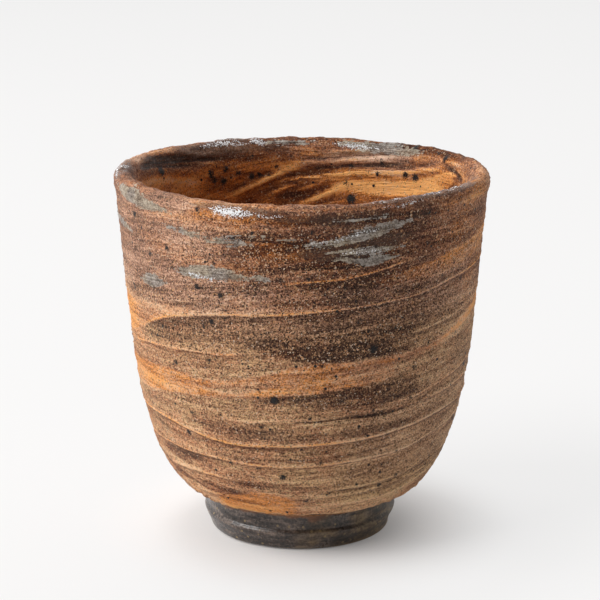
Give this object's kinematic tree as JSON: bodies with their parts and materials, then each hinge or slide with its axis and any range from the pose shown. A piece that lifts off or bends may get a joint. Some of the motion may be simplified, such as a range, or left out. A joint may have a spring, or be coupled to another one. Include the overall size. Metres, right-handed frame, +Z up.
{
  "type": "footed cup",
  "caption": "Handleless stoneware tea cup: a deep thrown bowl with an uneven lip and spiral throwing ridges, standing on a low dark foot ring, for holding a hot drink.",
  "frame": {"origin": "centre of the foot ring's resting face", "axes": "+Z up along the cup's axis, through the mouth; -Y towards the viewer of the picture; +X to the viewer's right"},
  "size_m": [0.0856, 0.0864, 0.086],
  "materials": {
    "stoneware": "matte",
    "slip": "matte",
    "foot_wash": "satin"
  },
  "bodies": {
    "root": {"cup_body": "stoneware", "luting_slip": "slip", "foot_ring": "foot_wash"}
  },
  "joints": []
}
